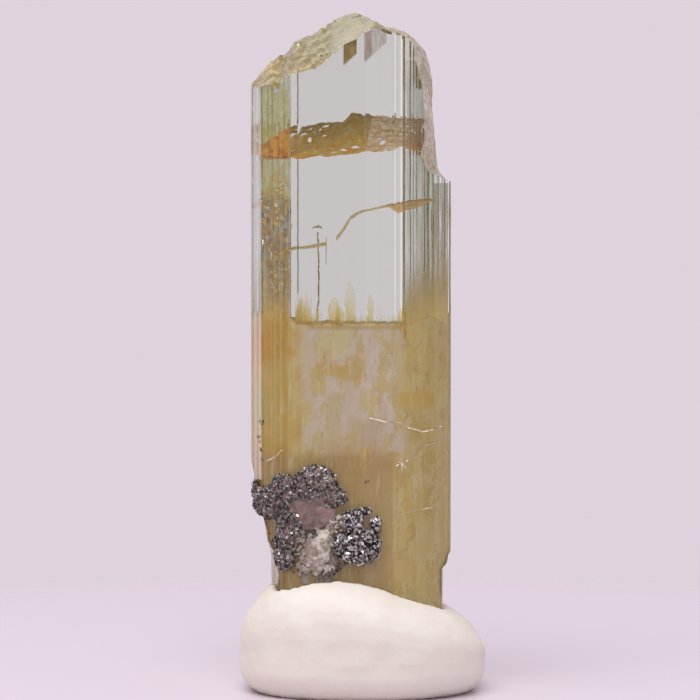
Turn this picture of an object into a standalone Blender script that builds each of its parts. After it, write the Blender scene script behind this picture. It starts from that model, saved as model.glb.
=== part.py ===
"""A tanzanite crystal held upright in a lump of white mounting putty.

The crystal is one flattened, striated prism. Its top is a sloping fracture, a step is broken off its
right shoulder, and both lower corners are chipped. Graphite and a little calcite grow on its lower
left front, and its foot is pressed into the putty.

Lengths are in millimetres until solid() turns them into metres. +Z is up, the front faces -Y, and
the origin is under the middle of the putty, on the surface that it stands on.
"""

import math
import random

import bmesh
import bpy
from mathutils import Vector, noise

MM = 0.001
CLEARANCE = 0.1  # between the crystal and what touches it

# The crystal's plan, anticlockwise from its left edge: corner x, corner y, then the number and the
# depth of the striations on the facet that starts there.
FACETS = (
    (-5.575, 0.30, 2, 0.02),
    (-5.02, -1.55, 6, 0.07),
    (-3.58, -2.88, 0, 0.0),
    (-3.22, -2.99, 0, 0.0),
    (-3.19, -3.08, 0, 0.0),
    (0.12, -3.12, 0, 0.0),
    (0.57, -3.05, 1, 0.02),
    (1.42, -2.93, 2, 0.03),
    (2.07, -2.72, 3, 0.05),
    (2.87, -2.30, 4, 0.06),
    (3.62, -1.62, 5, 0.07),
    (4.40, -0.35, 3, 0.04),
    (4.425, 0.45, 5, 0.06),
    (3.75, 1.65, 5, 0.07),
    (2.60, 2.50, 4, 0.05),
    (1.45, 3.00, 1, 0.02),
    (1.10, 3.08, 0, 0.0),
    (-3.25, 3.08, 1, 0.03),
    (-4.30, 2.45, 4, 0.06),
    (-5.25, 1.30, 3, 0.05),
)
WIDTH_LEFT, WIDTH_RIGHT = -5.575, 4.425
FRONT_CORNERS = FACETS[:12]
BACK_CORNERS = (FACETS[0],) + FACETS[:11:-1]

# The broken top, as heights along its front edge and along its crest near the back: x, z.
TOP_FRONT = (
    (-6.2, 29.8), (-4.8, 30.05), (-4.2, 30.08), (-3.95, 30.45), (-3.13, 30.67), (-1.97, 31.01),
    (-1.48, 31.5), (-0.93, 32.04), (-0.2, 32.43), (0.11, 32.65), (0.6, 32.98), (1.33, 32.77),
    (2.06, 32.48), (2.6, 31.95), (3.2, 30.9), (5.2, 29.9),
)
TOP_CREST = (
    (-6.2, 29.9), (-5.4, 30.6), (-4.9, 31.15), (-4.0, 31.75), (-3.5, 32.35), (-2.8, 32.65),
    (-1.9, 33.12), (-1.2, 33.55), (-0.8, 33.9), (-0.2, 33.9), (0.2, 33.6), (1.2, 33.12),
    (2.1, 32.82), (2.7, 32.45), (3.1, 32.0), (3.35, 31.4), (3.5, 30.7), (5.2, 29.0),
)
CREST_AT = 0.8  # share of the way from the front edge to the back
CREST_DROP = 0.5  # how far the top falls behind its crest
TOP_ROUGHNESS = 0.13
FRONT_SHARE, FRONT_CALM = 0.15, 0.35  # the roughness rises from this share of it at the front edge
HACKLE_X = (-2.7, -1.3)  # ribs that run from front to back across this stretch
HACKLE_PITCH = 0.42
HACKLE_HEIGHT = 0.07
SHELL_CENTRE, SHELL_RADIUS, SHELL_DEPTH = (-0.55, -0.9), 1.05, 0.16  # a shell-shaped flake scar
CLEFT_X, CLEFT_DEPTH = -3.95, 0.28  # a cleft between two lobes of the top

# Breaks on the corners: x and z down the break, where it meets the front and where it meets the back.
SHOULDER_FRONT = (
    (2.2, 33.6), (2.6, 31.9), (2.72, 31.2), (2.95, 30.3), (3.06, 29.3), (3.06, 27.6),
    (2.92, 26.6), (3.2, 25.95), (3.9, 25.6), (5.2, 25.2),
)
SHOULDER_BACK = (
    (2.9, 33.6), (3.4, 31.3), (3.52, 30.6), (3.5, 29.6), (3.6, 28.6), (3.68, 27.6),
    (3.74, 26.5), (3.95, 25.85), (4.3, 25.5), (5.2, 25.1),
)
LEFT_FOOT_FRONT = (
    (-6.4, 12.4), (-5.6, 11.5), (-5.4, 10.4), (-5.35, 9.9), (-5.18, 9.2), (-4.95, 8.7),
    (-4.83, 8.2), (-4.72, 7.6), (-4.3, 6.8), (-4.24, 6.2), (-4.24, 5.4), (-4.24, 0.2),
)
LEFT_FOOT_BACK = (
    (-6.4, 12.2), (-5.62, 11.3), (-5.50, 10.5), (-5.45, 9.95), (-5.30, 9.3), (-5.08, 8.8),
    (-4.92, 8.3), (-4.93, 7.6), (-4.68, 6.8), (-4.62, 6.2), (-4.62, 5.4), (-4.62, 0.2),
)
RIGHT_FOOT_FRONT = ((5.2, 7.4), (4.35, 6.9), (4.22, 6.35), (3.98, 6.15), (3.98, 0.2))
RIGHT_FOOT_BACK = ((5.2, 7.2), (4.40, 6.75), (4.30, 6.3), (4.14, 6.05), (4.12, 0.2))
BREAK_Y = (-3.4, 3.4)
BREAK_FRONT_AT, BREAK_BACK_AT = -2.2, 1.5  # where, from front to back, those two lines lie
BREAK_REACH = (-0.2, 1.3)  # how far in front of and behind them, as shares, a break still turns
BREAK_ROUGHNESS = 0.07
FOOT_Z = 1.3  # the broken lower end, inside the putty
BLANK_Z = (0.6, 34.4)  # the prism before its ends are broken off

# The putty: its ridge line as x, z, and the half depth at its middle.
PUTTY_HALF_WIDTH, PUTTY_HALF_DEPTH = 6.05, 5.3
PUTTY_WIDEST_Z = 1.9
PUTTY_RIDGE = (
    (-6.05, 1.9), (-5.97, 3.1), (-5.6, 3.85), (-5.08, 4.5), (-4.55, 5.15), (-3.55, 5.82),
    (-2.67, 6.05), (-1.3, 6.05), (-0.5, 6.0), (0.47, 5.74), (1.8, 5.16), (3.15, 4.49),
    (4.08, 3.99), (4.93, 3.44), (5.56, 2.82), (5.91, 2.3), (6.05, 1.9),
)
PUTTY_SQUARENESS = 2.9  # 2 is an ellipse in cross section
PUTTY_UNDERCUT = 1.35  # over 1, the underside is pressed flat

# Crusts on the front, as lumps: x, z, half width, half height, thickness.
GRAPHITE_LEFT = (
    (-5.30, 9.89, 0.30, 0.75, 0.18),
    (-4.75, 9.49, 0.70, 0.85, 0.26),
    (-3.75, 10.11, 0.80, 0.92, 0.34),
    (-2.28, 10.50, 1.10, 1.00, 0.38),
    (-1.20, 9.92, 0.50, 0.46, 0.22),
    (-2.85, 9.05, 1.60, 0.85, 0.18),
    (-3.68, 7.83, 0.62, 0.85, 0.26),
    (-3.78, 6.80, 0.52, 0.62, 0.32),
)
GRAPHITE_RIGHT = (
    (-0.30, 7.48, 1.20, 0.90, 0.42),
    (-0.50, 8.76, 0.52, 0.50, 0.24),
    (0.10, 9.20, 0.38, 0.24, 0.18),
    (0.60, 8.46, 0.26, 0.48, 0.22),
)
CALCITE = (
    (-2.20, 7.14, 0.66, 0.78, 0.24),
    (-1.84, 7.92, 0.38, 0.46, 0.18),
)
CRUST_ROOT = 0.5  # how far a crust's blank reaches under the crystal's surface
CRUST_GRIT = 0.45  # unevenness, as a share of the thickness


def material(name, colour, roughness, metallic=0.0, transmission=0.0):
    made = bpy.data.materials.new(name)
    made.use_nodes = True
    shader = made.node_tree.nodes["Principled BSDF"]
    shader.inputs["Base Color"].default_value = (*colour, 1.0)
    shader.inputs["Roughness"].default_value = roughness
    shader.inputs["Metallic"].default_value = metallic
    shader.inputs["Transmission Weight"].default_value = transmission
    made.diffuse_color = (*colour, 1.0)
    return made


def solid(name, bm, finish=None):
    """Makes an object of the mesh, with its faces out, and turns millimetres into metres."""
    bmesh.ops.recalc_face_normals(bm, faces=bm.faces)
    bmesh.ops.scale(bm, vec=(MM, MM, MM), verts=bm.verts)
    mesh = bpy.data.meshes.new(name)
    bm.to_mesh(mesh)
    bm.free()
    obj = bpy.data.objects.new(name, mesh)
    bpy.context.scene.collection.objects.link(obj)
    if finish:
        mesh.materials.append(finish)
    return obj


def cut(target, cutter):
    """Takes the cutter's shape out of the target."""
    cutter.hide_render = True
    cutter.display_type = "WIRE"
    modifier = target.modifiers.new("less " + cutter.name, "BOOLEAN")
    modifier.operation = "DIFFERENCE"
    modifier.object = cutter


def along(points, x):
    """The value at x on a line through (x, value, ...) points in rising order of x."""
    if x <= points[0][0]:
        return points[0][1]
    for start, end in zip(points, points[1:]):
        if x <= end[0]:
            return start[1] + (end[1] - start[1]) * (x - start[0]) / (end[0] - start[0])
    return points[-1][1]


def down(points, share):
    """The point at this share of the way through a list of (x, z) points."""
    place = share * (len(points) - 1)
    index = min(int(place), len(points) - 2)
    return Vector(points[index]).lerp(Vector(points[index + 1]), place - index)


def front_y(x):
    return along(FRONT_CORNERS, x)


def back_y(x):
    return along(BACK_CORNERS, x)


def plan_outline():
    """The crystal's plan as points, with each striation a shallow ridge beside a groove."""
    dice = random.Random(7)
    points = []
    for corner, following in zip(FACETS, FACETS[1:] + FACETS[:1]):
        start = Vector(corner[:2])
        run = Vector(following[:2]) - start
        inward = Vector((-run.y, run.x)).normalized()
        points.append(start)
        count, depth = corner[2:]
        for step in range(count):
            share = (step + dice.uniform(0.35, 0.65)) / count
            narrow = dice.uniform(0.12, 0.3) / count
            points.append(start + run * (share - narrow))
            points.append(start + run * share + inward * depth * dice.uniform(0.5, 1.0))
    return points


def grown(points, by):
    """The outline moved outwards by a distance."""
    moved = []
    for before, point, after in zip(points[-1:] + points[:-1], points, points[1:] + points[:1]):
        run = (after - before).normalized()
        moved.append(point + Vector((run.y, -run.x)) * by)
    return moved


def prism(name, grow, finish):
    bm = bmesh.new()
    outline = grown(plan_outline(), grow) if grow else plan_outline()
    floor = bm.faces.new([bm.verts.new((p.x, p.y, BLANK_Z[0])) for p in outline])
    raised = bmesh.ops.extrude_face_region(bm, geom=[floor])["geom"]
    tops = [v for v in raised if isinstance(v, bmesh.types.BMVert)]
    bmesh.ops.translate(bm, vec=(0, 0, BLANK_Z[1] - BLANK_Z[0]), verts=tops)
    return solid(name, bm, finish)


def fracture_block(name, cells, place, push, finish=None):
    """A closed block whose one side is a rough surface. place(u, v) gives that surface's points for
    u and v from 0 to 1, and push is the way from it into what is broken off."""
    bm = bmesh.new()
    bmesh.ops.create_grid(bm, x_segments=cells[0], y_segments=cells[1], size=0.5)
    for vert in bm.verts:
        vert.co = place(vert.co.x + 0.5, vert.co.y + 0.5)
    far = bmesh.ops.extrude_face_region(bm, geom=bm.faces[:])["geom"]
    bmesh.ops.translate(bm, vec=push, verts=[v for v in far if isinstance(v, bmesh.types.BMVert)])
    return solid(name, bm, finish)


def rough(point, size):
    """Uneven ground of about -1 to 1, with lumps of about this size."""
    return noise.fractal(point / size, 0.7, 2.1, 3)


def top_height(x, y):
    share = (y - front_y(x)) / max(back_y(x) - front_y(x), 1.0)
    share = min(max(share, 0.0), 1.0)
    low, high = along(TOP_FRONT, x), along(TOP_CREST, x)
    if share < CREST_AT:
        z = low + (high - low) * share / CREST_AT
    else:
        z = high - CREST_DROP * (share - CREST_AT) / (1 - CREST_AT)
    smooth = math.hypot(x - SHELL_CENTRE[0], (y - SHELL_CENTRE[1]) / 2.2) / SHELL_RADIUS
    if smooth < 1:
        z -= SHELL_DEPTH * (1 - smooth * smooth)
    calm = min(1.0, 0.25 + 0.75 * smooth * smooth)
    calm *= min(1.0, FRONT_CALM + (1 - FRONT_CALM) * share / FRONT_SHARE)
    z += TOP_ROUGHNESS * calm * rough(Vector((x, y, 3.0)), 1.1)
    if HACKLE_X[0] < x < HACKLE_X[1]:
        lean = (x + 0.18 * y) / HACKLE_PITCH
        z += HACKLE_HEIGHT * (2 * abs(lean - math.floor(lean + 0.5)) - 0.5)
    z -= CLEFT_DEPTH * max(0.0, 1 - abs(x - CLEFT_X - 0.1 * y) / 0.3)
    return z


def top_block(grow):
    left, right = WIDTH_LEFT - 0.6, WIDTH_RIGHT + 0.7

    def place(u, v):
        x = left + (right - left) * u
        y = BREAK_Y[0] + (BREAK_Y[1] - BREAK_Y[0]) * v
        return Vector((x, y, top_height(x, y) + grow))

    return fracture_block("broken top", (45, 25), place, (0, 0, 6))


def corner_block(name, front, back, cells, push, grow):
    """A break down a corner of the prism, between its line on the front and its line on the back."""
    away = Vector(push).normalized()

    def place(u, v):
        y = BREAK_Y[0] + (BREAK_Y[1] - BREAK_Y[0]) * u
        share = (y - BREAK_FRONT_AT) / (BREAK_BACK_AT - BREAK_FRONT_AT)
        share = min(max(share, BREAK_REACH[0]), BREAK_REACH[1])
        at = down(front, v).lerp(down(back, v), share)
        point = Vector((at.x, y, at.y))
        return point + away * (grow + BREAK_ROUGHNESS * rough(point, 0.8) - BREAK_ROUGHNESS)

    return fracture_block(name, cells, place, push)


def foot_block(grow):
    def place(u, v):
        x = WIDTH_LEFT - 0.6 + (WIDTH_RIGHT - WIDTH_LEFT + 1.3) * u
        y = BREAK_Y[0] + (BREAK_Y[1] - BREAK_Y[0]) * v
        return Vector((x, y, FOOT_Z - grow + BREAK_ROUGHNESS * rough(Vector((x, y, 0)), 1.5)))

    return fracture_block("broken foot", (16, 10), place, (0, 0, -4))


def crystal(name, grow, finish=None):
    """The crystal, or a copy of it grown by a clearance, from which its neighbours are cut."""
    body = prism(name, grow, finish)
    breaks = (
        top_block(grow),
        corner_block("broken shoulder", SHOULDER_FRONT, SHOULDER_BACK, (14, 46), (6, 0, 5), grow),
        corner_block("broken left foot", LEFT_FOOT_FRONT, LEFT_FOOT_BACK, (12, 34), (-5, 0, 0), grow),
        corner_block("broken right foot", RIGHT_FOOT_FRONT, RIGHT_FOOT_BACK, (10, 20), (4, 0, 0), grow),
        foot_block(grow),
    )
    for cutter in breaks:
        cut(body, cutter)
    return body


def putty(finish):
    """A soft rounded lump, flat underneath. A sphere's poles are turned to its left and right ends,
    and its points are then moved to the ridge line and to a squarish cross section."""
    bm = bmesh.new()
    bmesh.ops.create_uvsphere(bm, u_segments=36, v_segments=26, radius=1)
    power = 2 / PUTTY_SQUARENESS
    for vert in bm.verts:
        end, across, up = vert.co.z, vert.co.x, vert.co.y
        ring = max(math.hypot(across, up), 1e-6)
        x = PUTTY_HALF_WIDTH * end
        half_depth = PUTTY_HALF_DEPTH * ring ** 0.8
        y = half_depth * math.copysign(abs(across / ring) ** power, across)
        rise = abs(up / ring) ** power
        if up >= 0:
            z = PUTTY_WIDEST_Z + (along(PUTTY_RIDGE, x) - PUTTY_WIDEST_Z) * rise
        else:
            z = PUTTY_WIDEST_Z * (1 - PUTTY_UNDERCUT * rise * ring ** 0.5)
        vert.co = (x, y, max(z, 0.0))
    bmesh.ops.dissolve_degenerate(bm, dist=0.001, edges=bm.edges[:])
    return solid("putty_stand", bm, finish)


def crust(name, lumps, cells, finish):
    """A lumpy crust on the crystal's front. Its blank runs over the lumps and dips under the
    crystal's surface round them."""
    left = min(lump[0] - lump[2] for lump in lumps) - 0.1
    right = max(lump[0] + lump[2] for lump in lumps) + 0.1
    low = min(lump[1] - lump[3] for lump in lumps) - 0.1
    high = max(lump[1] + lump[3] for lump in lumps) + 0.1
    break_line = [(z, x) for x, z in reversed(LEFT_FOOT_FRONT)]

    def place(u, v):
        z = low + (high - low) * v
        start = max(left, along(break_line, z) + 0.12)
        x = start + (right - start) * u
        slope = (front_y(x + 0.15) - front_y(x - 0.15)) / 0.3
        outward = Vector((slope, -1.0, 0.0)).normalized()
        rise = -CRUST_ROOT
        for lump_x, lump_z, half_width, half_height, thickness in lumps:
            away = math.hypot((x - lump_x) / half_width, (z - lump_z) / half_height)
            rise = max(rise, thickness * (1 - away ** 3))
        if rise > 0:
            rise *= 1 + CRUST_GRIT * rough(Vector((x, 5.0, z)), 0.45)
        return Vector((x, front_y(x), z)) + outward * (CLEARANCE + rise)

    return fracture_block(name, cells, place, (0.9, 1.8, 0), finish)


def main():
    for obj in list(bpy.data.objects):
        bpy.data.objects.remove(obj)
    clear_gold = material("tanzanite", (0.80, 0.72, 0.45), 0.05, transmission=0.8)
    white_putty = material("putty", (0.86, 0.81, 0.78), 0.6)
    dark_flakes = material("graphite", (0.13, 0.11, 0.12), 0.35, metallic=0.7)
    milky = material("calcite", (0.62, 0.58, 0.52), 0.55)

    crystal("tanzanite_crystal", 0.0, clear_gold)
    room = crystal("crystal with clearance", CLEARANCE)
    room.hide_render = True
    room.display_type = "WIRE"

    held_by = [putty(white_putty)]
    held_by.append(crust("graphite_crust_left", GRAPHITE_LEFT, (30, 34), dark_flakes))
    held_by.append(crust("graphite_crust_right", GRAPHITE_RIGHT, (17, 20), dark_flakes))
    held_by.append(crust("calcite_patch", CALCITE, (12, 16), milky))
    for neighbour in held_by:
        cut(neighbour, room)


main()
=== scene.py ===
"""A tanzanite crystal standing in a lump of white mounting putty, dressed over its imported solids."""

import math
import random

import bpy
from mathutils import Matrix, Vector, noise
from mathutils.bvhtree import BVHTree


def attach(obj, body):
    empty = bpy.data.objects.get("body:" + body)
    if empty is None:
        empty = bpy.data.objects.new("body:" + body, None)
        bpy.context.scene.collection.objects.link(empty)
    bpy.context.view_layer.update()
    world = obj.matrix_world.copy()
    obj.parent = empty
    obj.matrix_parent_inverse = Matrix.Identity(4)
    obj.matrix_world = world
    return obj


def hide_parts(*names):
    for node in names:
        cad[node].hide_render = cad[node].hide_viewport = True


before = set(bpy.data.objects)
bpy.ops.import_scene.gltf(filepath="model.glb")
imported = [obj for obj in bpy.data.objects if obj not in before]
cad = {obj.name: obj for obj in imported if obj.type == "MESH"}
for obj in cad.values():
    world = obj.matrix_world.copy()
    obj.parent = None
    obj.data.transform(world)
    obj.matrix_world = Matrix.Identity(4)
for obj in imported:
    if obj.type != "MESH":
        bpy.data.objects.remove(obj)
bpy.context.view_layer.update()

# Putty stand
# A lump of soft white mounting putty, as large as a fingertip. It was pressed down on the table and
# the crystal was pushed into it, so its underside is flat and it closes tightly round the crystal.
# Sizes and places are in millimetres, and MM turns them into metres.
MM = 0.001
WELD = 0.0002
CRYSTAL_MIDDLE = -0.575
# How high the crystal's copy in the putty is cut off, and how much wider than the crystal it is.
PLUG_TOP, PLUG_WIDER = 3.8, (1.04, 1.06, 1.1)
PUTTY_GRID, PUTTY_SWELL, FLAT_BELOW = 0.12, 0.13, 0.03
DENT_SIZE, DENT_HEIGHT = 1.7, 0.12


def object_mode():
    """Goes back to object mode from edit mode."""
    bpy.ops.object.mode_set(mode="OBJECT")


def alone(obj):
    """Leaves only this object selected and active, in object mode."""
    if bpy.context.mode != "OBJECT":
        object_mode()
    bpy.ops.object.select_all(action="DESELECT")
    obj.select_set(True)
    bpy.context.view_layer.objects.active = obj


def edit_all(obj):
    """Goes into edit mode with all of the piece selected."""
    alone(obj)
    bpy.ops.object.mode_set(mode="EDIT")
    bpy.ops.mesh.select_all(action="SELECT")


def joined_copy(node, name):
    """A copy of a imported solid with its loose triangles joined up."""
    obj = bpy.data.objects.new(name, cad[node].data.copy())
    bpy.context.scene.collection.objects.link(obj)
    obj.data.materials.clear()
    edit_all(obj)
    bpy.ops.mesh.remove_doubles(threshold=WELD * MM)
    bpy.ops.mesh.customdata_custom_splitnormals_clear()
    bpy.ops.mesh.select_all(action="DESELECT")
    object_mode()
    return obj


def cut_flat(obj, level, up):
    """Cuts a piece off at a height in millimetres: what is above it goes if up is 1, below it if -1.
    Stays in edit mode with all of it selected."""
    edit_all(obj)
    bpy.ops.mesh.bisect(plane_co=(0, 0, level * MM), plane_no=(0, 0, up), use_fill=True, clear_outer=True)
    bpy.ops.mesh.select_all(action="SELECT")


def pick_faces(obj, wanted):
    """Selects the faces that wanted(centre in mm, normal) is true for, and goes into edit mode."""
    alone(obj)
    bpy.context.tool_settings.mesh_select_mode = (False, False, True)
    for face in obj.data.polygons:
        face.select = bool(wanted(face.center / MM, face.normal))
    bpy.ops.object.mode_set(mode="EDIT")


def modify(obj, kind, **settings):
    """Adds one modifier with its settings and applies it."""
    alone(obj)
    modifier = obj.modifiers.new(kind.title(), kind)
    for setting, value in settings.items():
        setattr(modifier, setting, value)
    bpy.ops.object.modifier_apply(modifier=modifier.name)


def even_mesh(obj, grid):
    """Makes a piece's mesh anew with even faces, their size in millimetres."""
    modify(obj, "REMESH", mode="VOXEL", voxel_size=grid * MM)


def roughen(obj, name, kind, size, height, **settings):
    """Makes a piece uneven with a procedural texture, its grain size and height in millimetres."""
    texture = bpy.data.textures.new(name, kind)
    texture.noise_scale = size * MM
    modify(obj, "DISPLACE", texture=texture, texture_coords="LOCAL", strength=height * MM, **settings)


def finish_of(obj, name, colour, roughness):
    """A new material on the piece. Returns its shader."""
    material = bpy.data.materials.new(name)
    material.use_nodes = True
    material.diffuse_color = (*colour, 1.0)
    shader = material.node_tree.nodes["Principled BSDF"]
    paint(shader, Base_Color=colour, Roughness=roughness)
    obj.data.materials.append(material)
    return shader


def feed(value, socket):
    """Puts a number, a colour or another node's output on a socket."""
    if hasattr(value, "is_output"):
        socket.id_data.links.new(value, socket)
    elif isinstance(value, tuple) and len(value) == 3 and socket.type == "RGBA":
        socket.default_value = (*value, 1.0)
    else:
        socket.default_value = value


def paint(shader, **values):
    """Puts values on a shader's sockets. Each is named after its socket, with _ for a space."""
    for name, value in values.items():
        feed(value, shader.inputs[name.replace("_", " ")])


def add(owner, kind, **values):
    """A new node in the tree of a shader, a node or an output. Values named after a socket, with _ for a
    space, go on that socket."""
    tree = owner.id_data
    node = tree.nodes.new("ShaderNode" + kind)
    for name, value in values.items():
        if hasattr(node, name):
            setattr(node, name, value)
        else:
            feed(value, node.inputs[name.replace("_", " ")])
    return node


def in_mm(shader):
    """The place on the piece in millimetres, as a vector and as x, y and z."""
    place = add(shader, "TexCoord").outputs["Object"]
    place = add(shader, "Mapping", Vector=place, Scale=(1000.0, 1000.0, 1000.0)).outputs["Vector"]
    parts = add(shader, "SeparateXYZ", Vector=place).outputs
    return place, parts["X"], parts["Y"], parts["Z"]


def speckle(place, size, shift=0.0, detail=3.0, roughness=0.5):
    """Noise of about 0 to 1, with grains of this size in millimetres along x, y and z."""
    scale = tuple(1.0 / length for length in size)
    grains = add(place, "Mapping", Vector=place, Scale=scale, Location=(shift, shift, shift))
    made = add(place, "TexNoise", Vector=grains.outputs["Vector"], Scale=1.0, Detail=detail,
               Roughness=roughness)
    return made.outputs["Fac"]


def calc(operation, *values):
    """The result of one operation on numbers and outputs."""
    owner = next(value for value in values if hasattr(value, "is_output"))
    node = add(owner, "Math", operation=operation)
    for value, socket in zip(values, node.inputs):
        feed(value, socket)
    return node.outputs["Value"]


def times(product, *values):
    """The product of numbers and outputs."""
    for value in values:
        product = calc("MULTIPLY", product, value)
    return product


def slope(value, start, end, low=0.0, high=1.0):
    """low up to start, high from end on, and an even rise between the two."""
    node = add(value, "MapRange", interpolation_type="SMOOTHSTEP", Value=value, From_Min=start,
               From_Max=end, To_Min=low, To_Max=high)
    return node.outputs["Result"]


def band(value, start, full, fade, end):
    """0 up to start, 1 from full to fade, and 0 again from end on."""
    return times(slope(value, start, full), slope(value, fade, end, 1.0, 0.0))


def near(value, middle, full, end, inside=1.0, outside=0.0):
    """inside up to a distance of full from the middle, and outside from a distance of end on."""
    away = calc("ABSOLUTE", calc("SUBTRACT", value, middle))
    return slope(away, full, end, inside, outside)


def mixed(share, under, over):
    """The colour over laid on the colour under by a share of 0 to 1."""
    node = add(share, "Mix", data_type="RGBA")
    for index, value in ((0, share), (6, under), (7, over)):
        feed(value, node.inputs[index])
    return node.outputs[2]


def blend(grains, start, end, under, over):
    """The colour under where the grains are low, and the colour over where they are high."""
    return mixed(slope(grains, start, end), under, over)


def emboss(shader, height, depth, strength):
    """A bump on the finish, its depth in millimetres."""
    bump = add(shader, "Bump", Height=height, Distance=depth * MM, Strength=strength)
    paint(shader, Normal=bump.outputs["Normal"])


plug = joined_copy("tanzanite_crystal", "plug")
cut_flat(plug, PLUG_TOP, 1)
bpy.ops.transform.resize(value=PLUG_WIDER, center_override=(CRYSTAL_MIDDLE * MM, 0, PLUG_TOP * MM))
object_mode()
putty = joined_copy("putty_stand", "putty_lump")
plug.select_set(True)
bpy.ops.object.join()
even_mesh(putty, PUTTY_GRID)
modify(putty, "SMOOTH", factor=0.5, iterations=6)
modify(putty, "DISPLACE", strength=PUTTY_SWELL * MM, mid_level=0.0)
roughen(putty, "thumb dents", "CLOUDS", DENT_SIZE, DENT_HEIGHT)
alone(putty)
bpy.context.tool_settings.mesh_select_mode = (True, False, False)
for vertex in putty.data.vertices:
    vertex.select = vertex.co.z < FLAT_BELOW * MM
bpy.ops.object.mode_set(mode="EDIT")
bpy.ops.transform.resize(value=(1.0, 1.0, 0.0), center_override=(0, 0, 0))
object_mode()
bpy.ops.object.shade_smooth()

shader = finish_of(putty, "white mounting putty", (0.71, 0.64, 0.59), 0.6)
place, x, y, z = in_mm(shader)
mottle = speckle(place, (2.0, 2.0, 1.4), detail=4.0)
tint = blend(mottle, 0.3, 0.7, (0.76, 0.71, 0.62), (0.80, 0.765, 0.685))
fingered = speckle(place, (0.5, 0.5, 0.3), shift=5.0)
tint = mixed(slope(fingered, 0.62, 0.8, 0.0, 0.3), tint, (0.68, 0.60, 0.50))
# Painted bounce light: the putty is painted paler a little above the table, where light from the floor
# falls on it.
painted_bounce_light = times(slope(z, 0.6, 3.2, 0.7, 0.0), slope(z, 0.1, 1.3, 0.2, 1.0))
tint = mixed(painted_bounce_light, tint, (0.93, 0.885, 0.79))
grit = speckle(place, (0.16, 0.16, 0.5), shift=9.0)
at_table = times(slope(z, 0.02, 0.16, 1.0, 0.0), slope(grit, 0.4, 0.62))
tint = mixed(at_table, tint, (0.30, 0.15, 0.11))
paint(shader, Base_Color=tint)
pits = speckle(place, (0.4, 0.4, 0.4))
pores = slope(speckle(place, (0.14, 0.14, 0.14), shift=3.0), 0.3, 0.42)
emboss(shader, calc("ADD", pits, pores), 0.03, 0.3)
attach(putty, "root")
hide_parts("putty_stand")

# Crystal
# One natural zoisite prism, glassy and striated along its length. Its ends and corners are broken
# with shell-like, splintery surfaces, so those are worked finer here, and its flat faces stay flat.
TANZANITE_IOR = 1.69
BODY_COLOUR, BODY_DENSITY = (0.51, 0.68, 0.43, 1.0), 70.0
# Faces whose normal rises or falls more than this, and that stand clear of the putty, are broken ones.
UPRIGHT, CLEAR_OF_PUTTY = 0.004, 4.0
TOP_FROM = 30.0
RIB_PITCH, RIB_HEIGHT, LUMP_HEIGHT = 0.30, 0.07, 0.10
SPLINTER_SIZE, SPLINTER_HEIGHT = 0.8, 0.06
CRUMB_SIZE, CRUMB_HEIGHT = 0.22, 0.025
# The middle of the smooth shell-like hollow at the peak, half its width, and how much deeper it is.
HOLLOW_X, HOLLOW_Y, HOLLOW_REACH, HOLLOW_DEEPER = -0.55, -0.9, 1.1, 2.2
crystal = joined_copy("tanzanite_crystal", "crystal")


def tanzanite(name, colour, roughness, transmission):
    """The crystal's finish for one kind of surface, with the same body colour for both."""
    shader = finish_of(crystal, name, colour, roughness)
    paint(shader, IOR=TANZANITE_IOR, Transmission_Weight=transmission)
    body = add(shader, "VolumeAbsorption", Color=BODY_COLOUR, Density=BODY_DENSITY)
    feed(body.outputs["Volume"], shader.id_data.nodes["Material Output"].inputs["Volume"])
    return shader


shader = tanzanite("clear tanzanite", (1.0, 1.0, 1.0), 0.02, 1.0)
place, x, y, z = in_mm(shader)
lines = speckle(place, (0.11, 0.11, 11.0))
emboss(shader, lines, 0.01, near(y, 0.0, 2.90, 3.02, 0.11, 0.0))

shader = tanzanite("broken tanzanite", (0.86, 0.76, 0.35), 0.12, 0.70)
place, x, y, z = in_mm(shader)
smear = speckle(place, (0.5, 0.9, 0.5))
sugar = speckle(place, (0.14, 0.2, 0.14), shift=5.0)
tint = blend(smear, 0.40, 0.62, (0.52, 0.39, 0.09), (1.0, 0.93, 0.46))
peak = band(x, -1.8, -1.3, 0.4, 1.0)
tint = mixed(times(peak, 0.8), tint, (1.0, 0.98, 0.58))
side = times(slope(x, 2.4, 2.9), band(z, 23.0, 24.0, 30.6, 31.6))
tint = mixed(times(side, 0.9), tint, (0.32, 0.28, 0.11))
# Here and there a thin dark line marks where one shell-like chip ends against the next.
warp = add(shader, "TexNoise", Vector=place, Scale=0.6, Detail=3.0).outputs["Color"]
spread = add(shader, "VectorMath", operation="SCALE", Scale=8.0)
feed(warp, spread.inputs[0])
chips = add(shader, "Mix", data_type="VECTOR")
for index, value in ((0, 0.35), (4, place), (5, spread.outputs["Vector"])):
    feed(value, chips.inputs[index])
chips = add(shader, "Mapping", Vector=chips.outputs[1], Scale=(1.0, 0.5, 0.8)).outputs["Vector"]
chips = add(shader, "TexVoronoi", Vector=chips, feature="DISTANCE_TO_EDGE", Scale=1.0).outputs["Distance"]
chips = calc("MULTIPLY_ADD", sugar, 0.06, calc("SUBTRACT", chips, 0.03))
lined = slope(chips, 0.010, 0.030, 1.0, 0.0)
lined = times(lined, slope(smear, 0.44, 0.54, 0.0, 0.85))
tint = mixed(lined, tint, (0.20, 0.13, 0.03))
# Near-white specks here are painted glints.
tint = mixed(slope(sugar, 0.60, 0.70, 0.0, 0.8), tint, (1.0, 0.99, 0.82))
glitter = times(side, slope(sugar, 0.46, 0.53, 0.1, 0.9))
tint = mixed(glitter, tint, (0.66, 0.51, 0.18))
paint(shader, Base_Color=tint, Metallic=glitter)
flakes = add(shader, "Mapping", Vector=place, Scale=(2.6, 1.2, 2.6)).outputs["Vector"]
flakes = add(shader, "TexVoronoi", Vector=flakes, Scale=1.0).outputs["Distance"]
steps = calc("MULTIPLY_ADD", sugar, 0.5, flakes)
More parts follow.
